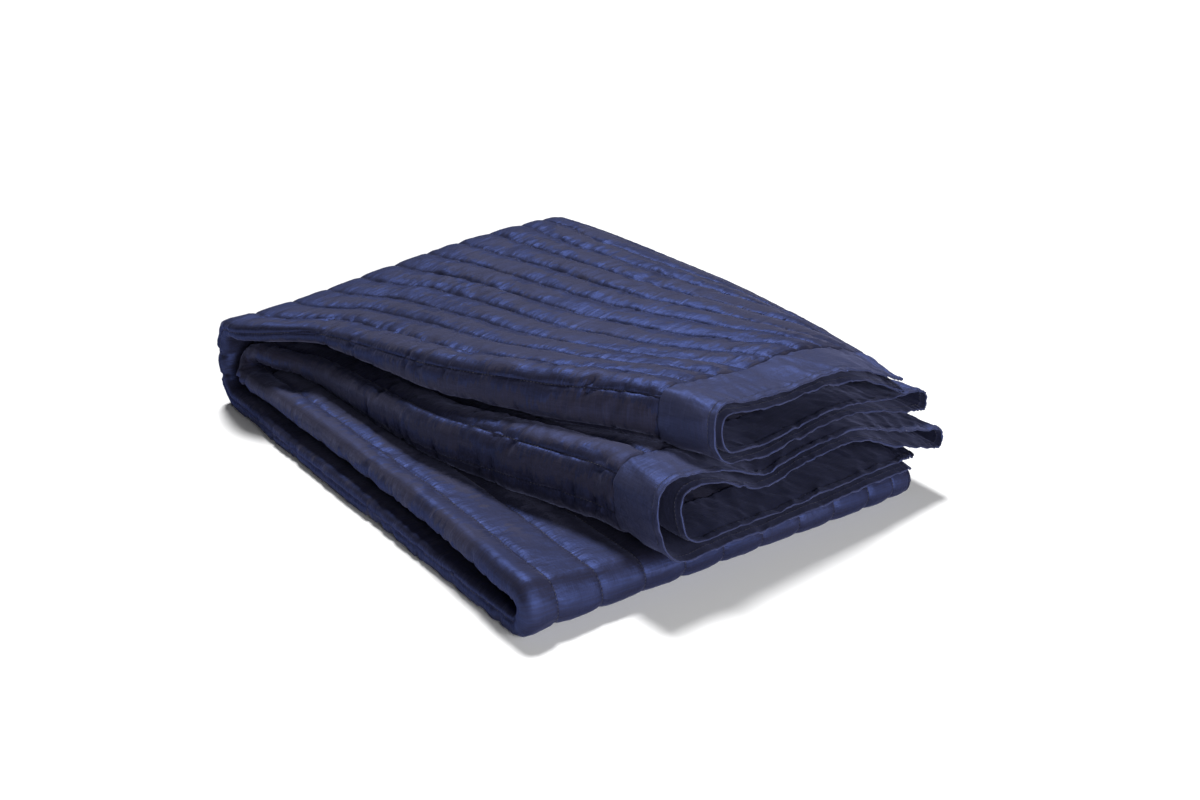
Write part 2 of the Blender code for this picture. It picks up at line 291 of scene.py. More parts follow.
def layer_curves(length_at, layer, steps=241):
    """Points of one layer, from its near fold to its far end, at each place along the cloth."""
    values = spline(STATION_AT, STATIONS, length_at)
    path = values[:, :N_PATH].reshape(-1, 7, 3)
    heights = values[:, HEIGHTS, None]
    pair, loop, nest, free = values[:, HEIGHTS.stop:, None].transpose(1, 0, 2)
    span = np.linalg.norm(np.diff(path, axis=1), axis=2).sum(axis=1)[:, None]
    inner = layer in (THIRD_LAYER, LAST)
    start = nest if inner else 0 * nest
    end = {FIRST: span * free, LAST: span * (free + LAST_REACH)}.get(layer, span)
    dense = (1 - np.cos(pi * np.linspace(0, 1, steps))) / 2
    across = start + (end - start) * dense
    part = np.clip(across / span, 0, 1)

    outer_half = along_sixths(heights, part)[..., 0] / 2
    inner_half = np.maximum(outer_half - pair, TIGHTEST_FOLD)
    fold = heights[:, 0] / 2
    if inner:
        fold = np.maximum(fold - pair, TIGHTEST_FOLD)
        offset = inner_half * round_end((across - start) / fold)
    else:
        offset = outer_half * round_end(across / fold)
    if layer in (SECOND_LAYER, THIRD_LAYER):
        side = 1 if inner else -1
        apart = outer_half - inner_half
        apart = apart + (np.maximum(loop, apart) - apart) * ramp(part, *LOOP_WIDENS)
        turned = round_end((end - across) / (loop * LOOP_END))
        looped = -(inner_half + outer_half) / 2 + side * apart / 2 * turned
        close = ramp(part, *LOOP_STARTS)
        offset = looped * close - offset * (1 - close)

    point = along_sixths(path, part)
    tangent = unit(np.gradient(point, axis=1))
    return point + square_to(tangent, values[:, None, NORMAL]) * offset[..., None]


def spread(part, length, flat):
    """How far from its near fold a point of a layer lies: as far as on the flat cloth, until what
    is left over has to gather at the far end of a layer that is drawn together."""
    gathers, knee = 24 * MM, 9 * MM

    def reach(x):
        eased = length - (flat - x) * gathers / np.maximum(flat - length + gathers, gathers / 2)
        return np.minimum(x, eased) - np.maximum(knee - abs(x - eased), 0) ** 2 / (4 * knee)

    least, most = reach(np.array([0.0, flat]))
    return (reach(part * flat) - least) * length / (most - least)


# The cloth isn't folded quite along its quarter lines: how far the big near fold strays from its
# own, in millimetres, at the ends of the strip's sections
STRAY_FOLD = (-10.5, -31.5, -31.5, -34, -42, -46, -59, -61)
STRAY_SHARES = (0, 1, 2 / 3, 1 / 3, 0)  # how much of it the cloth's edges and three folds stray


def fold_stray(length_at):
    """How far the big near fold lies from the quarter line at places along the cloth, in metres."""
    ends = 0, TOP_END, BOTTOM_START, BOTTOM_END, THIRD_START, THIRD_END, SECOND_START, CLOTH_LENGTH
    return np.interp(length_at, ends, STRAY_FOLD) * MM


def cloth_points(length_at, width_at):
    """Where the points of the flat cloth lie when it is folded: one row for each length."""
    out = np.zeros((len(length_at), len(width_at), 3))
    places = np.arange(LAYERS + 1) * QUARTER + fold_stray(length_at)[:, None] * STRAY_SHARES
    for layer in range(LAYERS):
        for i, curve in enumerate(layer_curves(length_at, layer)):
            run = run_along(curve)
            start, end = places[i, layer:layer + 2]
            chosen = np.flatnonzero((width_at >= start) & ((width_at < end) | (layer == LAST)))
            part = (width_at[chosen] - start) / (end - start)
            if layer in (FIRST, THIRD_LAYER):
                part = 1 - part
            out[i, chosen] = follow(run, curve, spread(part, run[-1], end - start))
    out[..., 2] = np.maximum(out[..., 2], FLOOR * MM)
    return out


# Landmarks along the cloth, where one section of the strip ends and the next begins
TOP_END, BOTTOM_START, BOTTOM_END, THIRD_START, THIRD_END, SECOND_START = STATION_AT[np.cumsum([
    len(TOP) - 1, LEFT_OUTER_STEPS, len(BOTTOM) - 1, SHORT_STEPS, len(THIRD) - 1, SHORT_STEPS])]
PANEL_START, PANEL_END = BAND_WIDTH + SEAM_GAP / 2, CLOTH_LENGTH - BAND_WIDTH - SEAM_GAP / 2


# ---- the cloth's relief

def noise(seed, x, y):
    """Smooth noise from -1 to 1, with one value for each whole x and y."""
    size = 256
    table = np.random.default_rng(seed).uniform(-1, 1, (size, size))
    xi, yi = np.floor(x).astype(int), np.floor(y).astype(int)
    u, v = smooth(x - xi), smooth(y - yi)
    x0, x1, y0, y1 = xi % size, (xi + 1) % size, yi % size, (yi + 1) % size
    return ((table[x0, y0] * (1 - u) + table[x1, y0] * u) * (1 - v)
            + (table[x0, y1] * (1 - u) + table[x1, y1] * u) * v)


def ridges(seed, s, w, long_way, short_way, turn):
    """Soft folds that run at an angle to the cloth's length, from 0 to 1."""
    along, across = s * np.cos(turn) + w * np.sin(turn), w * np.cos(turn) - s * np.sin(turn)
    bend = 0.6 * noise(seed + 1, along / (0.7 * long_way), across / (3 * short_way))
    raised = 1 - abs(noise(seed, along / long_way, across / short_way + bend))
    return smooth((raised - 0.62) / 0.38)


def between(x, low, high, soft):
    """1 between low and high and 0 outside, with soft ends."""
    return smooth((x - low) / soft + 0.5) * smooth((high - x) / soft + 0.5)


PAST = 9.0  # a place past any end of the cloth


def from_fold(s, w):
    """How far places across the cloth lie from its big near fold."""
    return w - fold_stray(s) - QUARTER


def looseness(s, w):
    """How much room the cloth has to puff up: 1 on top of the stack, less between layers."""
    w = from_fold(s, w)
    top = between(s, -PAST, TOP_END + 10 * MM, 60 * MM) * between(w, -2 * QUARTER, 25 * MM, 50 * MM)
    folds = np.maximum(between(s, TOP_END, BOTTOM_START, 40 * MM),
                       between(s, BOTTOM_END, THIRD_START, 20 * MM))
    folds = folds * between(w, -PAST, 20 * MM, 30 * MM)
    near = between(w, -20 * MM, 14 * MM, 30 * MM)
    second = between(s, SECOND_START, PAST, 60 * MM) * between(w, -30 * MM, 110 * MM, 70 * MM)
    third = between(s, THIRD_START, THIRD_END, 60 * MM) * between(w, -90 * MM, 0, 60 * MM)
    return np.maximum.reduce([top, 0.3 * folds, 0.7 * near, 0.9 * second, 0.5 * third])


def at_fold(s, w):
    """1 on the rolled near side of the stack, 0 elsewhere."""
    return between(from_fold(s, w), -55 * MM, 55 * MM, 25 * MM)


# Heights in the relief, in millimetres
PINCH = 0.9  # down, along a seam
PUCKERS = 0.75, 1.15  # up and down beside a seam, fine and broad
TUCK = 5.0  # down, beside a seam on a near fold
CRUSHED = 4.0, 3.5  # up and down, on the near end of the inner left fold
CREASES = 1.5, 1.2, 0.9  # up, down and up, each in its own direction
SLACK = 0.88, 0.44  # up and down between the seams, broad and fine
BACKING_LOOSENESS = 0.4  # at the panel's ends, where the backing shows


def channel_relief(s, w, room, sizes, side=1):
    """Height of the quilted cloth over its middle, in metres, at places along and across it, with
    less of it where there is less room; side is +1 for the face and -1 for the backing."""
    channel = sizes.channel_width
    place = w / channel
    number, part = np.floor(place), place - np.floor(place)
    seam = np.round(place)
    off_seam = abs(place - seam) * channel
    from_end = np.minimum(s - PANEL_START, PANEL_END - s)
    loose = looseness(s, w) if side > 0 else BACKING_LOOSENESS * smooth(1.4 - from_end / (70 * MM))
    ends = smooth((s - PANEL_START) / (16 * MM)) * smooth((PANEL_END - s) / (16 * MM))
    sides = smooth(w / (7 * MM)) * smooth((CLOTH_WIDTH - w) / (7 * MM))

    arch = 1 - abs(2 * part - 1) ** (4.5 - 2.3 * loose)
    swell = (1 + 0.22 * noise(11, s / (85 * MM), number * 7.31)
             + 0.1 * noise(12, s / (30 * MM), number * 3.7))
    height = sizes.tight_puff + (sizes.puff_height - sizes.tight_puff) * loose
    puff = 0.5 * MM + height * swell * arch * (0.25 + 0.75 * ends) * sides

    fine = noise(21, s / (4.6 * MM), seam * 17.77 + off_seam / (14 * MM))
    broad = (noise(23, s / (8.5 * MM), seam * 9.4 + off_seam / (30 * MM))
             + 0.7 * noise(24, s / (19 * MM), seam * 3.3))
    reach = 8 + 5 * noise(25, s / (13 * MM), seam * 2.9)
    pucker = (PUCKERS[0] * fine * np.exp(-off_seam / (5 * MM))
              + PUCKERS[1] * broad * np.exp(-off_seam / (reach * MM)))
    pinch = -PINCH * np.exp(-(off_seam / (1.6 * MM)) ** 2)
    tucked = smooth((noise(27, s / (9 * MM), seam * 6.3) - 0.3) / 0.35) * at_fold(s, w)
    tuck = -TUCK * tucked * np.exp(-off_seam / (12 * MM)) * smooth(off_seam / (3 * MM))
    left_fold = between(s, THIRD_END - 25 * MM, SECOND_START + 30 * MM, 40 * MM) * at_fold(s, w)
    crushed = left_fold * (CRUSHED[0] * ridges(47, s, w, 30 * MM, 9 * MM, 0.35)
                           - CRUSHED[1] * ridges(49, s, w, 34 * MM, 11 * MM, -0.9))

    patches = smooth(0.55 + 0.9 * noise(31, s / (110 * MM), w / (90 * MM)))
    crease = (CREASES[0] * ridges(41, s, w, 46 * MM, 15 * MM, 0.75)
              - CREASES[1] * ridges(43, s, w, 40 * MM, 14 * MM, -0.6)
              + CREASES[2] * ridges(45, s, w, 30 * MM, 9 * MM, 1.25)) * patches
    slack = (SLACK[0] * noise(51, s / (26 * MM), w / (19 * MM))
             + SLACK[1] * noise(52, s / (12 * MM), w / (10 * MM)))
    away = smooth(off_seam / (6 * MM))
    unevenness = (pucker + tuck + crushed + pinch + (crease + slack) * away) * MM
    return (puff + unevenness * (0.35 + 0.65 * loose) * sides) * (0.25 + 0.75 * room)


def wander(s, w, sizes):
    """How far each seam strays sideways, in metres."""
    return 1.1 * MM * noise(61, s / (95 * MM), np.round(w / sizes.channel_width) * 4.19)


def band_relief(from_hem, w):
    """Height of the plain band over its middle, in metres."""
    turned = 0.55 * smooth((8.6 * MM - from_hem) / (1.2 * MM))
    stitched = -0.45 * np.exp(-((from_hem - HEM_STITCH) / (1.1 * MM)) ** 2)
    gathers = (0.65 * noise(71, w / (4.8 * MM), from_hem / (25 * MM))
               + 1.15 * noise(72, w / (10 * MM), from_hem / (30 * MM)))
    gathers = gathers * np.exp(-from_hem / (13 * MM))
    at_seam = 0.55 * noise(73, w / (6.2 * MM), 0 * w)
    at_seam = at_seam * np.exp(-(BAND_WIDTH - from_hem) / (8 * MM))
    soft = (0.95 * noise(74, w / (34 * MM), from_hem / (26 * MM))
            + 1.5 * ridges(75, from_hem, w, 52 * MM, 17 * MM, 0.5)
            - 1.2 * ridges(77, from_hem, w, 44 * MM, 12 * MM, -0.45))
    return (turned + stitched + gathers + at_seam + soft) * MM


# ---- meshes of cloth

def cloth_shift():
    """How far the cloth moves over the floor to lie where the solids do."""
    lines = np.linspace(0, CLOTH_LENGTH, 240), np.linspace(0, CLOTH_WIDTH, 240)
    spots = cloth_points(*lines).reshape(-1, 3)
    low, high = CAD_BOX
    shift = np.array((low + high) / 2) - (spots.min(axis=0) + spots.max(axis=0)) / 2
    return shift * (1, 1, 0)


CLOTH_SHIFT = cloth_shift()


def frames(lengths, widths):
    """Points of the folded cloth, its outward, lengthwise and widthwise directions, and how far
    each part of its width is from being drawn together."""
    points = cloth_points(lengths, widths) + CLOTH_SHIFT
    along, across = np.gradient(points, axis=0), np.gradient(points, axis=1)
    room = np.clip(np.linalg.norm(across, axis=-1) / np.gradient(widths), 0, 1)
    return points, unit(np.cross(along, across)), unit(along), unit(across), room


def steps_between(start, end, step):
    """Places from start to end, about one step apart."""
    return np.linspace(start, end, max(1, int(round((end - start) / step))) + 1)


def mesh_object(name, points, faces, flat, finish, lowest=0.05 * MM):
    """A smooth-shaded mesh that stays above the floor, with the flat cloth as its UV map."""
    points[:, 2] = np.maximum(points[:, 2], lowest)
    mesh = bpy.data.meshes.new(name)
    mesh.from_pydata(points.tolist(), [], faces)
    mesh.update()
    layer = mesh.uv_layers.new(name="cloth")
    corners = np.empty(len(mesh.loops), dtype=np.int32)
    mesh.loops.foreach_get("vertex_index", corners)
    layer.data.foreach_set("uv", (flat[corners] / UV_SPAN).astype(np.float32).ravel())
    mesh.shade_smooth()
    mesh.materials.append(finish)
    thing = bpy.data.objects.new(name, mesh)
    bpy.context.scene.collection.objects.link(thing)
    return thing


def woven(points, flat, strips):
    """The points, faces and flat places of a cloth whose strips between neighbouring columns each
    have their own lengthwise lines. Where a fine strip meets a coarse one the coarse faces take in
    the fine one's points, so nothing gapes, and points that no strip uses are left out."""
    used = np.zeros(points.shape[:2], bool)
    for j, rows in enumerate(strips):
        used[rows, j] = used[rows, j + 1] = True
    number = np.cumsum(used).reshape(used.shape) - 1
    faces = []
    for j, rows in enumerate(strips):
        left, right = np.flatnonzero(used[:, j]), np.flatnonzero(used[:, j + 1])
        a, b = np.searchsorted(left, rows), np.searchsorted(right, rows)
        for i in range(len(rows) - 1):
            near = number[left[a[i]:a[i + 1] + 1], j]
            far = number[right[b[i]:b[i + 1] + 1], j + 1]
            faces.append((*near.tolist(), *far[::-1].tolist()))
    return points[used], faces, flat[used]


# Where the mesh lines of a channel lie, as parts of its width
FINE_CHANNEL = (0, 0.032, 0.085, 0.19, 0.34, 0.5, 0.66, 0.81, 0.915, 0.968)
PLAIN_CHANNEL = (0, 0.06, 0.25, 0.5, 0.75, 0.94)


def channel_count(sizes):
    """How many channels the panel has."""
    return int(round(CLOTH_WIDTH / sizes.channel_width))


def panel_columns(sizes, fine_to):
    """Places across the cloth of the panel's mesh lines."""
    lines = []
    for k in range(channel_count(sizes)):
        parts = FINE_CHANNEL if k * sizes.channel_width < fine_to else PLAIN_CHANNEL
        lines += [(k + part) * sizes.channel_width for part in parts]
    return np.array(lines + [CLOTH_WIDTH])


# Places along the cloth of the finest lines: where each run starts, and the step in it
RUNS = ((PANEL_START, 2.8), (TOP_END - 30 * MM, 3.3), (BOTTOM_START, 5.8),
        (BOTTOM_END - 12 * MM, 2.8), (THIRD_START + 12 * MM, 5.6), (THIRD_END, 4.6),
        (SECOND_START, 3.5))
BACKING_STRIDE = 6  # how many of the finest lines the backing skips


def panel_rows():
    """Places along the cloth of the panel's finest mesh lines."""
    ends = [start for start, _ in RUNS[1:]] + [PANEL_END]
    runs = [steps_between(start, end, step * MM)[:-1] for (start, step), end in zip(RUNS, ends)]
    return np.array([*np.concatenate(runs), PANEL_END])


def row_stride(s, w):
    """How many of the finest lines a strip at w skips at each place s, as what shows is finest."""
    w = from_fold(s, w)
    top = s < BOTTOM_START - 20 * MM
    bottom = ~top & (s < BOTTOM_END - 14 * MM)
    right = (s >= BOTTOM_END - 14 * MM) & (s < THIRD_START + 14 * MM)
    third = (s >= THIRD_START + 14 * MM) & (s < THIRD_END)
    inner = (s >= THIRD_END) & (s < SECOND_START)
    second = s >= SECOND_START
    near_end = (s < 190 * MM) | (s > PANEL_END - 120 * MM)
    at_loop = ((abs(w - QUARTER) < 75 * MM) | (w < 40 * MM - QUARTER)
               | (w > 3 * QUARTER - 40 * MM))
    finest = ((top & (w < 110 * MM)) | (bottom & (w > -40 * MM) & (w < 45 * MM))
              | (right & (w < 70 * MM)) | (third & (w > -240 * MM) & (w < 45 * MM))
              | (inner & (abs(w) < 60 * MM)) | (second & (w > -90 * MM) & (w < 230 * MM)))
    return np.select([finest, at_loop, near_end], [1, 2, 4], 8)


def chosen_rows(s, stride):
    """Numbers of the lines that a strip keeps: the ends, and those that its strides step on."""
    number = np.arange(len(s))
    keep = number % stride == 0
    keep[[0, -1]] = True
    return number[keep]


# The hem along each side edge: how far in from the edge and how high over the cloth's middle its
# mesh lines lie, in millimetres, from the face round to the reverse
SIDE_HEM = ((-0.7, 1.1), (-1.3, 0.0), (-0.7, -1.6), (2.5, -2.3), (9.0, -2.2), (15.0, -1.9))
END_DIP = 0.4 * MM  # how far the face dips under its middle at a band


def quilt_points(s, w, sizes, side):
    """Points of the quilted cloth, its flat places, and the frames of its middle; side is +1 for
    the face and -1 for the backing."""
    points, out, _, across, room = frames(s, w)
    flat = np.stack(np.broadcast_arrays(s[:, None], w[None, :]), axis=-1)
    height = side * channel_relief(flat[..., 0], flat[..., 1], room, sizes, side)
    if side > 0:
        height[[0, -1]] = -END_DIP
    stray = wander(flat[..., 0], flat[..., 1], sizes)
    shaped = points + out * height[..., None] + across * stray[..., None]
    return shaped, flat, points, out, across


def quilted_face(sizes, finish):
    """The outer cloth of the panel, its side edges turned under as a hem."""
    s, w = panel_rows(), panel_columns(sizes, QUARTER + 110 * MM)
    shaped, _, points, out, across = quilt_points(s, w, sizes, 1)

    hems, hem_w = [], []
    for side, edge in ((-1, 0), (1, -1)):
        ripple = (1 + 0.3 * noise(81 + side, s / (6 * MM), 0 * s))[:, None]
        lines = SIDE_HEM[::side]
        hems.append(np.stack([points[:, edge] - across[:, edge] * side * into * MM
                              + out[:, edge] * up * MM * ripple for into, up in lines], axis=1))
        hem_w.append([w[edge] - side * into * MM for into, _ in lines])
    shaped = np.concatenate([hems[0], shaped, hems[1]], axis=1)
    flat_w = np.concatenate([hem_w[0], w, hem_w[1]])

    mids = (flat_w[1:] + flat_w[:-1]) / 2
    strips = [chosen_rows(s, row_stride(s, mid)) for mid in mids]
    flat = np.stack(np.broadcast_arrays(s[:, None], flat_w), axis=-1)
    return mesh_object("quilted_face", *woven(shaped, flat, strips), finish)


def quilted_backing(sizes, finish):
    """The reverse of the panel, which shows only at the open edges."""
    s, w = panel_rows(), panel_columns(sizes, 0)
    s = s[chosen_rows(s, BACKING_STRIDE)]
    shaped, flat, _, _, _ = quilt_points(s, w, sizes, -1)
    rows, columns = len(s), len(w)
    corners = [(i * columns + j, (i + 1) * columns + j)
               for i in range(rows - 1) for j in range(columns - 1)]
    faces = [(near, near + 1, far + 1, far) for near, far in corners]
    return mesh_object("quilted_backing", shaped.reshape(-1, 3), faces, flat.reshape(-1, 2),
                       finish, lowest=0.3 * MM)


# How far from its hem the mesh lines of a band lie
BAND_LINES = np.array([0.0, 1.0, 2.6, 5.0, 7.2, 8.2, 9.2, 11.5, 16, 22, 29, 36, 43, 50, 56, 61,
                       64.5, 66.8, 67.8]) * MM


def end_band(name, at_start, finish):
    """A plain band with a turned, stitched hem: its two sides and rims make one closed cloth."""
    way, hem_row = (1, 0) if at_start else (-1, -1)
    from_hem = BAND_LINES[::way]
    s = from_hem if at_start else CLOTH_LENGTH - from_hem
    w = steps_between(0, CLOTH_WIDTH, BAND_STEP)
    points, out, along, _, _ = frames(s, w)
    relief = band_relief(*np.broadcast_arrays(from_hem[:, None], w[None, :]))
    ends = 0.4 + 0.6 * smooth(np.minimum(w, CLOTH_WIDTH - w) / (3 * MM))
    front = points + out * ((relief + BAND_SIDE) * ends)[..., None]
    back = points + out * ((relief * BACK_SHARE - BAND_BACK) * ends)[..., None]
    puckered = (0.45 * noise(91, w / (6.5 * MM), 0 * w)
                + 0.55 * noise(92, w / (14 * MM), 0 * w))
    rim = ((front[hem_row] + back[hem_row]) / 2
           - along[hem_row] * way * ((1.0 + 1.9 * puckered) * MM)[:, None])
    rows = np.concatenate([front[::-way], rim[None], back[::way]])
    flat_s = np.concatenate([s[::-way], [0 if at_start else CLOTH_LENGTH + 0.9 * MM], s[::way]])

    count, columns = rows.shape[:2]
    faces = []
    for i in range(count):
        after = (i + 1) % count
        for j in range(columns - 1):
            quad = (i * columns + j, after * columns + j,
                    after * columns + j + 1, i * columns + j + 1)
            faces.append(quad[::way])
    half = len(s)
    for j, turn in ((0, -way), (columns - 1, way)):
        for i in range(half - 1):
            quad = tuple(row * columns + j for row in (i, i + 1, count - 2 - i, count - 1 - i))
            faces.append(quad[::turn])
        tip = tuple(row * columns + j for row in (half - 1, half, half + 1))
        faces.append(tip[::turn])
    flat = np.stack(np.broadcast_arrays(flat_s[:, None], w[None, :]), axis=-1).reshape(-1, 2)
    return mesh_object(name, rows.reshape(-1, 3), faces, flat, finish)


# ---- thread

def stitch_shape():
    """One stitch: a short rounded thread along X, a unit long and a unit in radius."""
    sides = 5
    turns = np.arange(sides) * 2 * pi / sides
    ring = np.stack([np.zeros(sides), np.cos(turns), np.sin(turns)], axis=-1)
    rings = ring * 0.75 + (-0.36, 0, 0), ring, ring * 0.75 + (0.36, 0, 0)
    points = np.concatenate([[(-0.5, 0, -0.6)], *rings, [(0.5, 0, -0.6)]])
    last = len(points) - 1
    faces = []
    for i in range(sides):
        after = (i + 1) % sides
        faces += [(0, 1 + after, 1 + i), (last - sides + i, last - sides + after, last)]
        faces += [(a + i, a + after, a + after + sides, a + i + sides) for a in (1, 1 + sides)]
    return points, faces


def stitches_along(line, outward, pitch, length):
    """Places of the stitches along a line of points, and their directions ahead and upward."""
    run = run_along(line)
    places = np.arange(pitch / 2, run[-1], pitch)
    ahead = unit(follow(run, line, places + length / 2) - follow(run, line, places - length / 2))
    return follow(run, line, places), ahead, square_to(ahead, follow(run, outward, places))


# How far the stitches' middles stand over the cloth
QUILTING_RISE, HEM_RISE = 0.12 * MM, 0.1 * MM


def sew(name, lines, sizes, finish):
    """One mesh of all the stitches on the lines, each a copy of the same stitch."""
    shape, faces = stitch_shape()
    size = np.array([sizes.stitch_length, sizes.thread_thickness / 2, sizes.thread_thickness / 2])
    mids, aheads, ups = (np.concatenate(part) for part in zip(*(
        stitches_along(*line, sizes.stitch_pitch, sizes.stitch_length) for line in lines)))
    axes = np.stack([aheads, np.cross(ups, aheads), ups], axis=1)
    points = (mids[:, None] + (shape * size) @ axes).reshape(-1, 3)
    count = len(shape)
    every = [tuple(v + n * count for v in face) for n in range(len(mids)) for face in faces]
    flat = np.repeat(mids[:, :2], count, axis=0)
    return mesh_object(name, points, every, flat, finish, lowest=0.1 * MM)


def seam_lines(sizes):
    """The lines of quilting that show, with the direction away from the cloth along each."""
    first, last, far_side = PANEL_START + 2 * MM, PANEL_END - 2 * MM, CLOTH_WIDTH - QUARTER
    shown = (  # from where to where along the cloth, and across it beside the near fold
        (first, BOTTOM_START - 10 * MM, -QUARTER, 60 * MM),
        (BOTTOM_START, BOTTOM_END, -30 * MM, 30 * MM),
        (BOTTOM_END - 8 * MM, THIRD_START + 8 * MM, -QUARTER, 40 * MM),
        (THIRD_START, THIRD_END, -220 * MM, 30 * MM),
        (SECOND_START, last, -60 * MM, 210 * MM),
        (first, 190 * MM, 60 * MM, far_side),
        (PANEL_END - 130 * MM, last, 210 * MM, far_side))
    seams = np.arange(1, channel_count(sizes)) * sizes.channel_width
    lines = []
    for start, end, low, high in shown:
        s = steps_between(start, end, 2.5 * MM)
        moved = from_fold((start + end) / 2, seams)
        places = seams[(moved > low) & (moved <= high)]
        around = (places[:, None] + np.array([-2, 0, 2]) * MM).ravel()
        points, out, _, across, room = frames(s, around)
        for j, place in zip(range(1, len(around), 3), places):
            here = np.full(len(s), place)
            rise = channel_relief(s, here, room[:, j], sizes) + QUILTING_RISE
            stray = wander(s, here, sizes)
            lines.append((points[:, j] + out[:, j] * rise[:, None]
                          + across[:, j] * stray[:, None], out[:, j]))
    return lines


def hem_lines():
    """The line of stitches along each band's hem, on both sides of the cloth."""
    w = steps_between(0, CLOTH_WIDTH, BAND_STEP)
    near = HEM_STITCH + np.array([-1, 0, 1]) * HEM_GROOVE
    relief = band_relief(np.full(len(w), HEM_STITCH), w)
    lines = []
    for s in (near, CLOTH_LENGTH - near[::-1]):
        points, out, _, _, _ = frames(s, w)
        for side, rise in ((1, relief + BAND_SIDE), (-1, BAND_BACK - relief * BACK_SHARE)):
            away = out[1] * side
            lines.append((points[1] + away * (rise + HEM_RISE)[:, None], away))
    return lines


# ---- finishes

class Wire:
    """The output of a shader node, on which arithmetic adds Math nodes."""

    def __init__(self, tree, socket):
        self.tree = tree
        self.socket = socket

    def math(self, operation, *others, swapped=False):
        """A Math node of this kind over the wire and other values, or over them the other way."""
        node = self.tree.nodes.new("ShaderNodeMath")
        node.operation = operation
        values = (*others, self) if swapped else (self, *others)
        for slot, value in zip(node.inputs, values):
            if isinstance(value, Wire):
                self.tree.links.new(value.socket, slot)
            else:
                slot.default_value = value
        return Wire(self.tree, node.outputs[0])

    __add__ = __radd__ = partialmethod(math, "ADD")
    __sub__ = partialmethod(math, "SUBTRACT")
    __rsub__ = partialmethod(math, "SUBTRACT", swapped=True)
    __mul__ = __rmul__ = partialmethod(math, "MULTIPLY")
    __truediv__ = partialmethod(math, "DIVIDE")
    __abs__ = partialmethod(math, "ABSOLUTE")
    rounded = partialmethod(math, "ROUND")
    to_and_fro = partialmethod(math, "PINGPONG")


class Finish:
    """A material under construction."""

    def __init__(self, name):
        self.material = bpy.data.materials.new(name)
        self.material.use_nodes = True
        self.tree = self.material.node_tree
        self.tree.nodes.clear()

    def add(self, kind, settings=None, values=None, out=0):
        """A node of a kind, its settings first and then the values or wires of its sockets."""
        node = self.tree.nodes.new("ShaderNode" + kind)
        for name, value in (settings or {}).items():
            setattr(node, name, value)
        for name, value in (values or {}).items():
            slot = node.inputs[name]
            if isinstance(value, Wire):
                self.tree.links.new(value.socket, slot)
            else:
                slot.default_value = value
        return Wire(self.tree, node.outputs[out]) if node.outputs else node

    def mix(self, share, first, second):
        """One colour or the other, by a share from 0 to 1."""
        return self.add("Mix", {"data_type": "RGBA", "clamp_factor": True},
                        {0: share, 6: first, 7: second}, out=2)

    def noise(self, place, scale=1.0, detail=2.0, roughness=0.5):
        """Noise from 0 to 1 over a place."""
        return self.add("TexNoise", {"noise_dimensions": "2D"}, {
            "Vector": place, "Scale": scale, "Detail": detail, "Roughness": roughness})

    def noise_at(self, x, y, detail=2.0, roughness=0.5):
        """Noise from 0 to 1 over two wires."""
        place = self.add("CombineXYZ", None, {"X": x, "Y": y})
        return self.noise(place, 1.0, detail, roughness)

    def soft_step(self, value, low, high):
        """A soft step from 0 at low to 1 at high."""
        return self.add("MapRange", {"interpolation_type": "SMOOTHSTEP", "clamp": True}, {
            "Value": value, "From Min": low, "From Max": high, "To Min": 0.0, "To Max": 1.0})

    def done(self, shader):
        """Sends a shader to the surface and gives the material."""
        self.add("OutputMaterial", None, {"Surface": shader})
        return self.material


def tone(colour, share=1.0):
    """A colour for a socket, brighter or darker by a share."""
    return (*(part * share for part in colour), 1)


def cloth_places(finish):
    """Places along and across the flat cloth, in metres."""
    flat = finish.add("SeparateXYZ", None, {"Vector": finish.add("UVMap", {"uv_map": "cloth"})})
    return flat * UV_SPAN, Wire(finish.tree, flat.socket.node.outputs["Y"]) * UV_SPAN


# The cloth's noises are given by how many of their cells go to a metre, along and across it
THREADS = 900.0  # the fine threads of the weave, both ways
WEFT_TINT = (0.35, 0.40, 0.65, 1)
SHEEN_TINT = (0.27, 0.29, 0.52, 1)
THREAD_AND_GROOVE_SHADE = 0.8  # how much of a seam's line the thread's colour covers: the stitches' marks, and painted shade in the seam's groove between them
DASH = 2.1 * MM  # half of the way from one stitch's mark to the next
CREST_SHADE_FROM_SEAM = 10.5 * MM, 13.5 * MM  # how far from a seam the painted shade on a channel's crest begins, browner and duller; nearer the seam is painted glossy blue sheen
CREST_SHADE_FADE = 60 * MM, 130 * MM  # how far from the outer folds the painted crest shade begins
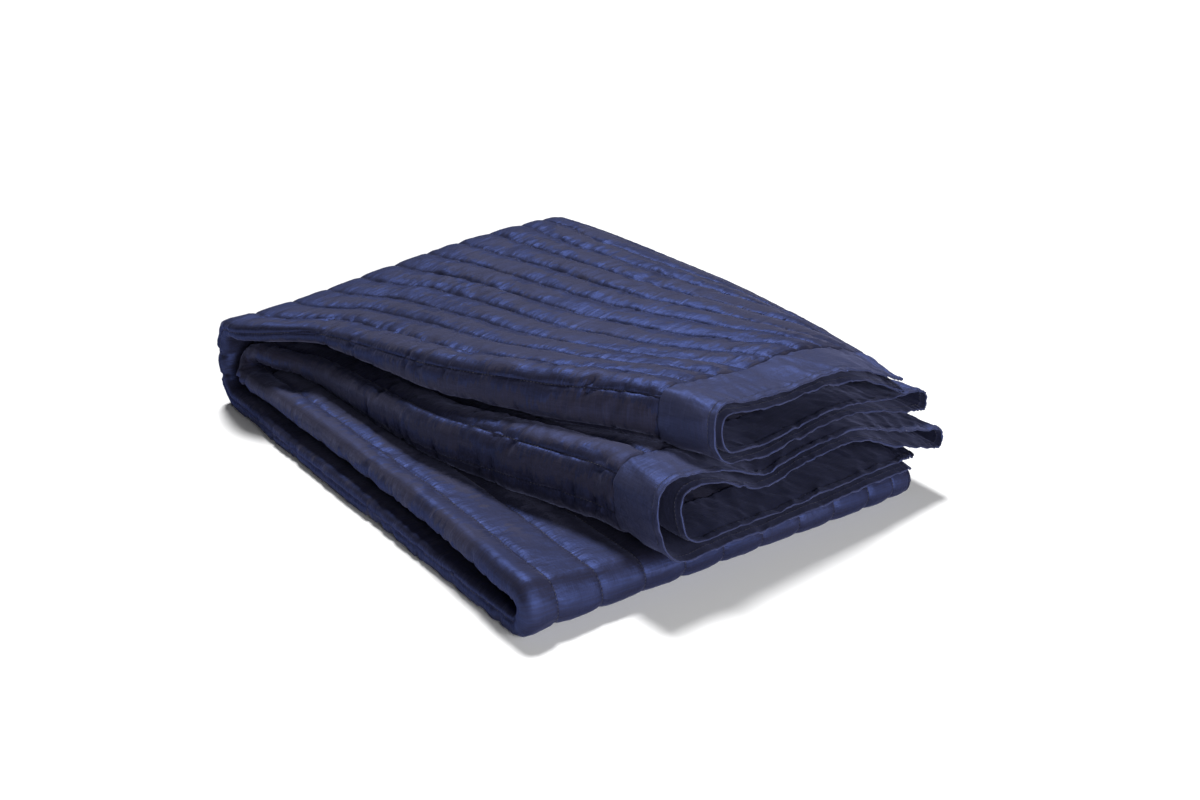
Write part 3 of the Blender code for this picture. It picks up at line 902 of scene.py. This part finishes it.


def shot_silk(name, colours, sizes, quilted):
    """Slubbed silk woven of two colours: glossy blue threads across, dull brown ones along."""
    finish = Finish(name)
    noise_at, soft_step = finish.noise_at, finish.soft_step
    along, across = cloth_places(finish)
    stray = noise_at(along * 14.0, across * 14.0) * (1.6 * MM)
    slubs = noise_at((along + stray) * THREADS, across * 30.0, 3.0, 0.55)
    thick = soft_step(noise_at(along * 170.0, across * 9.0 + 31.0), 0.60, 0.72)
    warp = noise_at(along * 22.0, across * THREADS, 2.0, 0.6)
    patches = noise_at(along * 9.0, across * 11.0, 3.0, 0.55)

    blue = finish.mix(soft_step(slubs, 0.3, 0.75), tone(colours.weft_dark), tone(colours.weft_blue))
    blue = finish.mix(thick * 0.55, blue, tone(colours.weft_bright))
    dull = colours.warp_brown if quilted else colours.band_warp
    brown = finish.mix(soft_step(warp, 0.3, 0.7), tone(dull, 0.72), tone(dull))
    rough = 0.52 + 0.14 * (slubs - 0.5) + 0.10 * (patches - 0.5)
    share = colours.blue_share + (patches - 0.5) * 0.3
    threads = slubs * 0.45 + warp * 0.35 + thick * 0.3

    if quilted:
        channel = across / sizes.channel_width
        off_seam = abs(channel - channel.rounded()) * sizes.channel_width
        # Painted shade along each seam's groove, in the thread's colour, darker still at the
        # stitches' marks
        dash = soft_step(along.to_and_fro(DASH), 0.7 * MM, 1.2 * MM)
        line = (1.0 - soft_step(off_seam, 0.25 * MM, 1.3 * MM)) * (0.55 + 0.45 * dash)
        blue = finish.mix(line * THREAD_AND_GROOVE_SHADE, blue, tone(colours.thread))
        brown = finish.mix(line * THREAD_AND_GROOVE_SHADE, brown, tone(colours.thread))
        gathers = noise_at(along * 210.0, channel * 2.4, 3.0, 0.55)
        threads = threads + gathers * (1.0 - soft_step(off_seam, 1.5 * MM, 14 * MM)) * 3.2
        # Painted sheen and shade across each channel: more of the glossy blue weft beside the
        # seams, more of the dull brown warp on the crest, a ragged edge between them, and none of
        # it near the outer folds
        shade_edge_noise = noise_at(along * 150.0, channel * 1.3 + 7.0, 5.0, 0.72)
        shade_edge_shift = (shade_edge_noise - 0.5) * (40 * MM) + (patches - 0.5) * (60 * MM)
        painted_crest_shade = soft_step(off_seam + shade_edge_shift, *CREST_SHADE_FROM_SEAM)
        for fold in ((TOP_END + BOTTOM_START) / 2, (BOTTOM_END + THIRD_START) / 2):
            painted_crest_shade = painted_crest_shade * soft_step(abs(along - fold), *CREST_SHADE_FADE)
        # painted sheen beside the seams, painted shade on the crests
        share = share + 0.10 - 0.36 * painted_crest_shade
    crinkle = noise_at(along * 95.0, across * 70.0, 4.0, 0.6)
    bump = finish.add("Bump", None, {
        "Strength": 0.6, "Distance": 0.6 * MM, "Height": threads + crinkle * 2.6})

    weft = finish.add("BsdfPrincipled", None, {
        "Base Color": blue, "Roughness": rough, "Metallic": 1.0, "Normal": bump,
        "Specular Tint": WEFT_TINT})
    warp_cloth = finish.add("BsdfPrincipled", None, {
        "Base Color": brown, "Roughness": 0.75, "Metallic": 0.0, "Normal": bump,
        "Specular IOR Level": 0.15, "Sheen Weight": 0.5, "Sheen Roughness": 0.45,
        "Sheen Tint": SHEEN_TINT})
    share = share + (slubs - 0.5) * 0.25
    return finish.done(finish.add("MixShader", None, {0: share, 1: warp_cloth, 2: weft}))


def sewing_thread(name, colours):
    """Twisted dark thread."""
    finish = Finish(name)
    twist = finish.noise(finish.add("TexCoord", out="Object"), 900.0, 1.0)
    colour = finish.mix(twist, tone(colours.thread), tone(colours.thread, 2.2))
    bump = finish.add("Bump", None, {"Strength": 0.3, "Distance": 0.1 * MM, "Height": twist})
    return finish.done(finish.add("BsdfPrincipled", None, {
        "Base Color": colour, "Roughness": 0.55, "Normal": bump, "Sheen Weight": 0.2}))


def pale_floor(name, colours):
    """A matt pale floor with the faintest mottling."""
    finish = Finish(name)
    mottle = finish.noise(finish.add("TexCoord", out="Object"), 3.0)
    colour = finish.mix(mottle, tone(colours.floor, 0.99), tone(colours.floor))
    return finish.done(finish.add("BsdfPrincipled", None, {
        "Base Color": colour, "Roughness": 0.9, "Specular IOR Level": 0.1}))


def made_once(name, maker, *facts):
    """The finish of that name, made the first time it is asked for."""
    return bpy.data.materials.get(name) or maker(name, *facts)


# ---- add-on

def a_length(name, description, default):
    """A property for a length."""
    return bpy.props.FloatProperty(
        name=name, description=description, default=default, unit="LENGTH")


def a_colour(name, description, default):
    """A property for a colour."""
    return bpy.props.FloatVectorProperty(
        name=name, description=description, default=default, subtype="COLOR")


class BedspreadSizes(bpy.types.PropertyGroup):
    """Sizes of the sewing."""
    channel_width: a_length("Channel width", "Distance between two lines of quilting", 42 * MM)
    puff_height: a_length(
        "Puff height", "How high a channel stands where nothing lies on it", 4.0 * MM)
    tight_puff: a_length(
        "Pressed puff height", "How high a channel stands between layers", 1.7 * MM)
    stitch_length: a_length("Stitch length", "Length of a stitch that shows", 3.0 * MM)
    stitch_pitch: a_length("Stitch pitch", "Distance from one stitch to the next", 4.2 * MM)
    thread_thickness: a_length("Thread thickness", "Thickness of the sewing thread", 0.55 * MM)


class BedspreadColours(bpy.types.PropertyGroup):
    """Colours of the threads and the floor."""
    weft_blue: a_colour("Weft", "Glossy threads across the cloth", (0.026, 0.040, 0.120))
    weft_dark: a_colour("Dark weft", "The darkest of those threads", (0.018, 0.027, 0.082))
    weft_bright: a_colour("Bright slub", "Thick places in those threads", (0.038, 0.054, 0.150))
    warp_brown: a_colour("Warp", "Dull threads along the quilted cloth", (0.021, 0.018, 0.033))
    band_warp: a_colour("Band warp", "Dull threads along the plain bands", (0.038, 0.040, 0.084))
    # also the colour of the painted shade in the quilting seams' grooves
    thread: a_colour("Sewing thread", "Quilting and hem thread", (0.006, 0.006, 0.018))
    floor: a_colour("Floor", "The pale floor", (0.92, 0.92, 0.92))
    blue_share: bpy.props.FloatProperty(
        name="Share of the weft", description="How much of the surface the glossy threads cover",
        default=0.5, min=0.0, max=1.0, subtype="FACTOR")


def ready(context):
    """The scene's sizes and colours, with nothing selected, so no operator changes the solids."""
    bpy.ops.object.select_all(action="DESELECT")
    context.view_layer.objects.active = None
    return context.scene.bedspread_sizes, context.scene.bedspread_colours


class BEDSPREAD_OT_quilted_panel(bpy.types.Operator):
    """Quilt and fold the panel: its face with the side hems, and its backing"""
    bl_idname = "bedspread.quilted_panel"
    bl_label = "Quilted panel"

    def execute(self, context):
        sizes, colours = ready(context)
        silk = made_once("quilted_silk", shot_silk, colours, sizes, True)
        for piece in (quilted_face(sizes, silk), quilted_backing(sizes, silk)):
            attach(piece, "root")
            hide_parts("quilted_panel")
        return {"FINISHED"}


class BEDSPREAD_OT_end_bands(bpy.types.Operator):
    """Sew a plain hemmed band across each end"""
    bl_idname = "bedspread.end_bands"
    bl_label = "End bands"

    def execute(self, context):
        sizes, colours = ready(context)
        silk = made_once("band_silk", shot_silk, colours, sizes, False)
        for name, at_start in (("end_band_a", True), ("end_band_b", False)):
            piece = end_band("hemmed_" + name, at_start, silk)
            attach(piece, "root")
            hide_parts(name)
        return {"FINISHED"}


class BEDSPREAD_OT_thread(bpy.types.Operator):
    """Sew the quilting lines that show and the line along each hem"""
    bl_idname = "bedspread.thread"
    bl_label = "Sewing thread"

    def execute(self, context):
        sizes, colours = ready(context)
        thread = made_once("sewing_thread", sewing_thread, colours)
        for name, lines in (("quilting_thread", seam_lines(sizes)), ("hem_thread", hem_lines())):
            piece = sew(name, lines, sizes, thread)
            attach(piece, "root")
        return {"FINISHED"}


FLOOR_SIZE = 400.0  # so wide that its edge stays out of sight in a low view
KEY_PLACE = (0, 0, 3)
KEY_FROM = (-0.48, 0.24, 1.0)  # the way from the object to the light
KEY_STRENGTH = 4.2
KEY_SOFTNESS = radians(13)
SIDE_PLACE = (1.9, -0.1, 0.55)
SIDE_FROM = (1.9, -0.1, 0.34)
SIDE_SIZE = (1.6, 1.0)
SIDE_POWER = 42.0
FILL_STRENGTH = 0.03  # what the surroundings add to the light
BACKDROP_STRENGTH = 1.0  # how bright they look past the floor
CAMERA_PLACE = (1.312, -0.920, 0.770)
CAMERA_LOOK = (-0.73266, 0.54569, -0.40674)
CAMERA_LENS, CAMERA_SENSOR = 43.46, 36  # in millimetres


class BEDSPREAD_OT_stage(bpy.types.Operator):
    """Lay the pale floor, hang the soft lights and place the camera"""
    bl_idname = "bedspread.stage"
    bl_label = "Stage"

    def execute(self, context):
        _, colours = ready(context)
        bpy.ops.mesh.primitive_plane_add(size=FLOOR_SIZE, location=(0, 0, 0))
        floor = context.active_object
        floor.name = "floor"
        floor.data.materials.append(made_once("pale_floor", pale_floor, colours))

        key = bpy.data.lights.new("key_light", "SUN")
        key.energy, key.angle = KEY_STRENGTH, KEY_SOFTNESS
        self.hang(context, key, KEY_PLACE, KEY_FROM)
        side = bpy.data.lights.new("side_light", "AREA")
        side.shape = "RECTANGLE"
        side.size, side.size_y = SIDE_SIZE
        side.energy = SIDE_POWER
        self.hang(context, side, SIDE_PLACE, SIDE_FROM)
        context.scene.world = self.surroundings()

        lens = bpy.data.cameras.new("camera")
        lens.lens, lens.sensor_width = CAMERA_LENS, CAMERA_SENSOR
        context.scene.camera = self.hang(context, lens, CAMERA_PLACE, CAMERA_LOOK, "-Z")
        context.scene.view_settings.view_transform = "Standard"
        return {"FINISHED"}

    def hang(self, context, data, place, direction, axis="Z"):
        """Adds a light or the camera at a place, with its axis turned to a direction."""
        thing = bpy.data.objects.new(data.name, data)
        thing.location = place
        thing.rotation_euler = Vector(direction).to_track_quat(axis, "Y").to_euler()
        context.scene.collection.objects.link(thing)
        return thing

    def surroundings(self):
        """A white studio that lights the object faintly and looks pale past the floor."""
        world = bpy.data.worlds.new("studio")
        world.use_nodes = True
        nodes, links = world.node_tree.nodes, world.node_tree.links
        fill, backdrop = nodes["Background"], nodes.new("ShaderNodeBackground")
        rays, seen = nodes.new("ShaderNodeLightPath"), nodes.new("ShaderNodeMixShader")
        links.new(rays.outputs["Is Camera Ray"], seen.inputs["Fac"])
        for i, light, strength in ((1, fill, FILL_STRENGTH), (2, backdrop, BACKDROP_STRENGTH)):
            light.inputs["Color"].default_value = (1, 1, 1, 1)
            light.inputs["Strength"].default_value = strength
            links.new(light.outputs["Background"], seen.inputs[i])
        links.new(seen.outputs["Shader"], nodes["World Output"].inputs["Surface"])
        return world


class BEDSPREAD_PT_panel(bpy.types.Panel):
    """The steps of the bedspread, in order"""
    bl_idname = "BEDSPREAD_PT_panel"
    bl_label = "Bedspread"
    bl_space_type = "VIEW_3D"
    bl_region_type = "UI"
    bl_category = "Bedspread"

    def draw(self, context):
        for group in (context.scene.bedspread_sizes, context.scene.bedspread_colours):
            for name in group.__annotations__:
                self.layout.prop(group, name)
        for operator in STEPS:
            self.layout.operator(operator.bl_idname)


STEPS = (BEDSPREAD_OT_thread, BEDSPREAD_OT_quilted_panel, BEDSPREAD_OT_end_bands,
         BEDSPREAD_OT_stage)
CLASSES = (BedspreadSizes, BedspreadColours, *STEPS, BEDSPREAD_PT_panel)


def register():
    for one in CLASSES:
        bpy.utils.register_class(one)
    bpy.types.Scene.bedspread_sizes = bpy.props.PointerProperty(type=BedspreadSizes)
    bpy.types.Scene.bedspread_colours = bpy.props.PointerProperty(type=BedspreadColours)


def unregister():
    del bpy.types.Scene.bedspread_sizes
    del bpy.types.Scene.bedspread_colours
    for one in reversed(CLASSES):
        bpy.utils.unregister_class(one)


def main():
    """Register the add-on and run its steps."""
    register()
    bpy.ops.bedspread.thread()
    bpy.ops.bedspread.quilted_panel()
    bpy.ops.bedspread.end_bands()
    bpy.ops.bedspread.stage()


if __name__ == "__main__":
    main()
